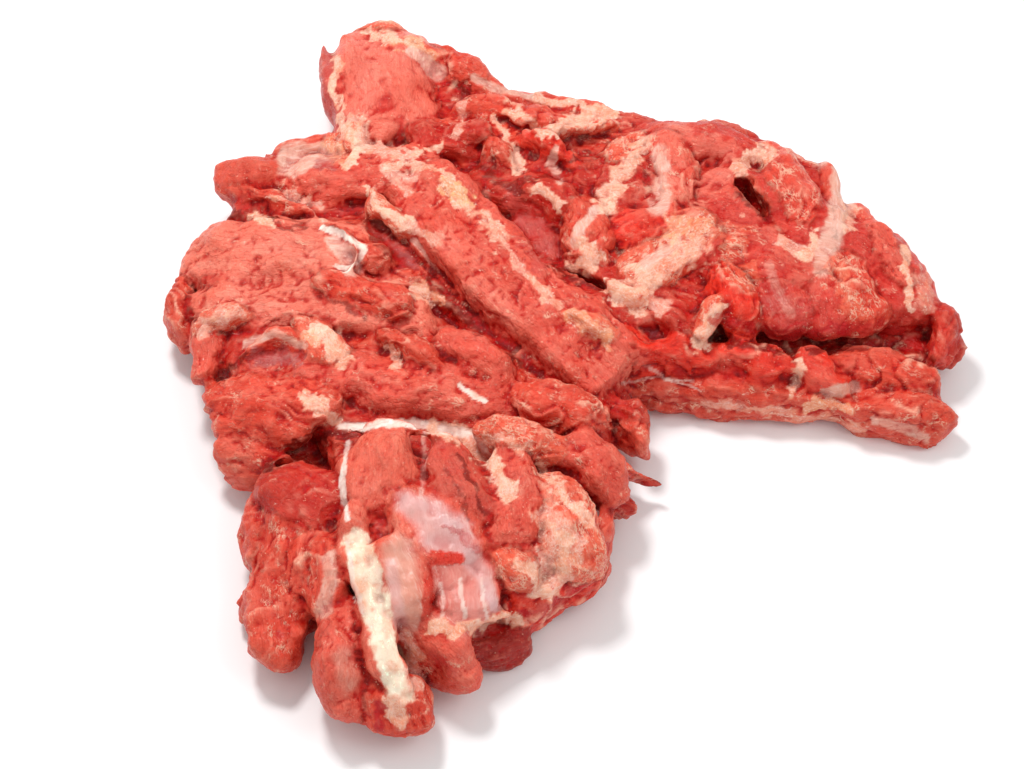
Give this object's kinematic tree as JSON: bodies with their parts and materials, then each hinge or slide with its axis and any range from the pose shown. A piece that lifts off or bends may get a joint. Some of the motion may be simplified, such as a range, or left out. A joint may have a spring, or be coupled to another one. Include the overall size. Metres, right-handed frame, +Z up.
{
  "type": "raw beef neck",
  "caption": "Whole boneless raw beef neck laid open on a surface: layered muscle slabs, folds, fat and sinew in one uneven L-shaped piece with a flat underside.",
  "frame": {"origin": "on the flat underside, below the middle of the bounding box", "axes": "+Z up from the surface that the meat lies on, +Y from the shin end towards the small end that points away, +X towards the long flap"},
  "size_m": [0.4939, 0.5278, 0.0753],
  "materials": {
    "raw_beef": "wet raw beef, red lean with cream fat and pale sinew"
  },
  "bodies": {
    "root": {"beef_neck": "raw_beef"}
  },
  "joints": []
}
